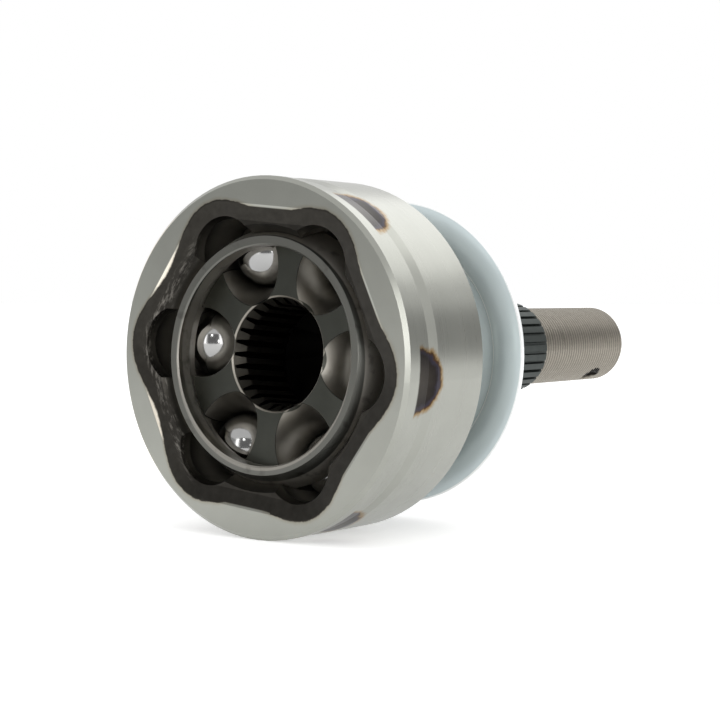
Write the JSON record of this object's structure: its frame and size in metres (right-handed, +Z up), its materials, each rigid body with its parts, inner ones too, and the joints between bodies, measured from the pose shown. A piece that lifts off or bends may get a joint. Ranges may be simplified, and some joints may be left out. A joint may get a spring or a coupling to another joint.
{
  "type": "fixed constant-velocity joint",
  "caption": "Fixed constant-velocity joint for a driven wheel: bell-shaped outer race with a splined and threaded stub shaft, caged balls and an inner race that bends",
  "frame": {"origin": "joint centre, where the axes of the outer race and the inner race meet, which is also the middle of the inner race's splined bore", "axes": "+Y along the stub shaft towards the wheel hub, the open mouth faces -Y, +Z up, +X is the axis the joint bends about"},
  "size_m": [0.092, 0.1783, 0.092],
  "materials": {
    "ground_steel": "ground",
    "zinc_plate": "bright zinc plate",
    "cage_steel": "ground, dark",
    "race_steel": "satin, hardened",
    "ball_steel": "polished"
  },
  "bodies": {
    "outer": {"outer_race": "ground_steel", "dust_shield": "zinc_plate"},
    "inner": {"inner_race": "race_steel"},
    "ball_cage": {"cage": "cage_steel"},
    "ball_1": {"ball_1": "ball_steel"},
    "ball_2": {"ball_2": "ball_steel"},
    "ball_3": {"ball_3": "ball_steel"},
    "ball_4": {"ball_4": "ball_steel"},
    "ball_5": {"ball_5": "ball_steel"},
    "ball_6": {"ball_6": "ball_steel"}
  },
  "joints": [
    {"name": "bend", "type": "hinge", "parent": "outer", "child": "inner", "pos_m": [0, 0, 0], "axis": [1, 0, 0], "range_deg": [-40.2, 49.8]},
    {"name": "cage_tilt", "type": "hinge", "parent": "outer", "child": "ball_cage", "pos_m": [0, 0, 0], "axis": [1, 0, 0], "range_deg": [-20.2, 25]},
    {"name": "ball_1_roll", "type": "hinge", "parent": "outer", "child": "ball_1", "pos_m": [0, -0.0045, 0], "axis": [0.1045, 0, 0.9945], "range_deg": [-2.29, 2.81]},
    {"name": "ball_2_roll", "type": "hinge", "parent": "outer", "child": "ball_2", "pos_m": [0, -0.0045, 0], "axis": [-0.809, 0, 0.5878], "range_deg": [-20.59, 16.64]},
    {"name": "ball_3_roll", "type": "hinge", "parent": "outer", "child": "ball_3", "pos_m": [0, -0.0045, 0], "axis": [-0.9135, 0, -0.4067], "range_deg": [-23.03, 18.61]},
    {"name": "ball_4_roll", "type": "hinge", "parent": "outer", "child": "ball_4", "pos_m": [0, -0.0045, 0], "axis": [-0.1045, 0, -0.9945], "range_deg": [-2.81, 2.29]},
    {"name": "ball_5_roll", "type": "hinge", "parent": "outer", "child": "ball_5", "pos_m": [0, -0.0045, 0], "axis": [0.809, 0, -0.5878], "range_deg": [-16.64, 20.59]},
    {"name": "ball_6_roll", "type": "hinge", "parent": "outer", "child": "ball_6", "pos_m": [0, -0.0045, 0], "axis": [0.9135, 0, 0.4067], "range_deg": [-18.61, 23.03]}
  ],
  "couplings": [
    {"joint": "cage_tilt", "follows": "bend", "ratio": 0.5},
    {"joint": "ball_1_roll", "follows": "bend", "ratio": 0.0545},
    {"joint": "ball_2_roll", "follows": "bend", "ratio": -0.4115},
    {"joint": "ball_3_roll", "follows": "bend", "ratio": -0.4605},
    {"joint": "ball_4_roll", "follows": "bend", "ratio": -0.0545},
    {"joint": "ball_5_roll", "follows": "bend", "ratio": 0.4115},
    {"joint": "ball_6_roll", "follows": "bend", "ratio": 0.4605}
  ]
}
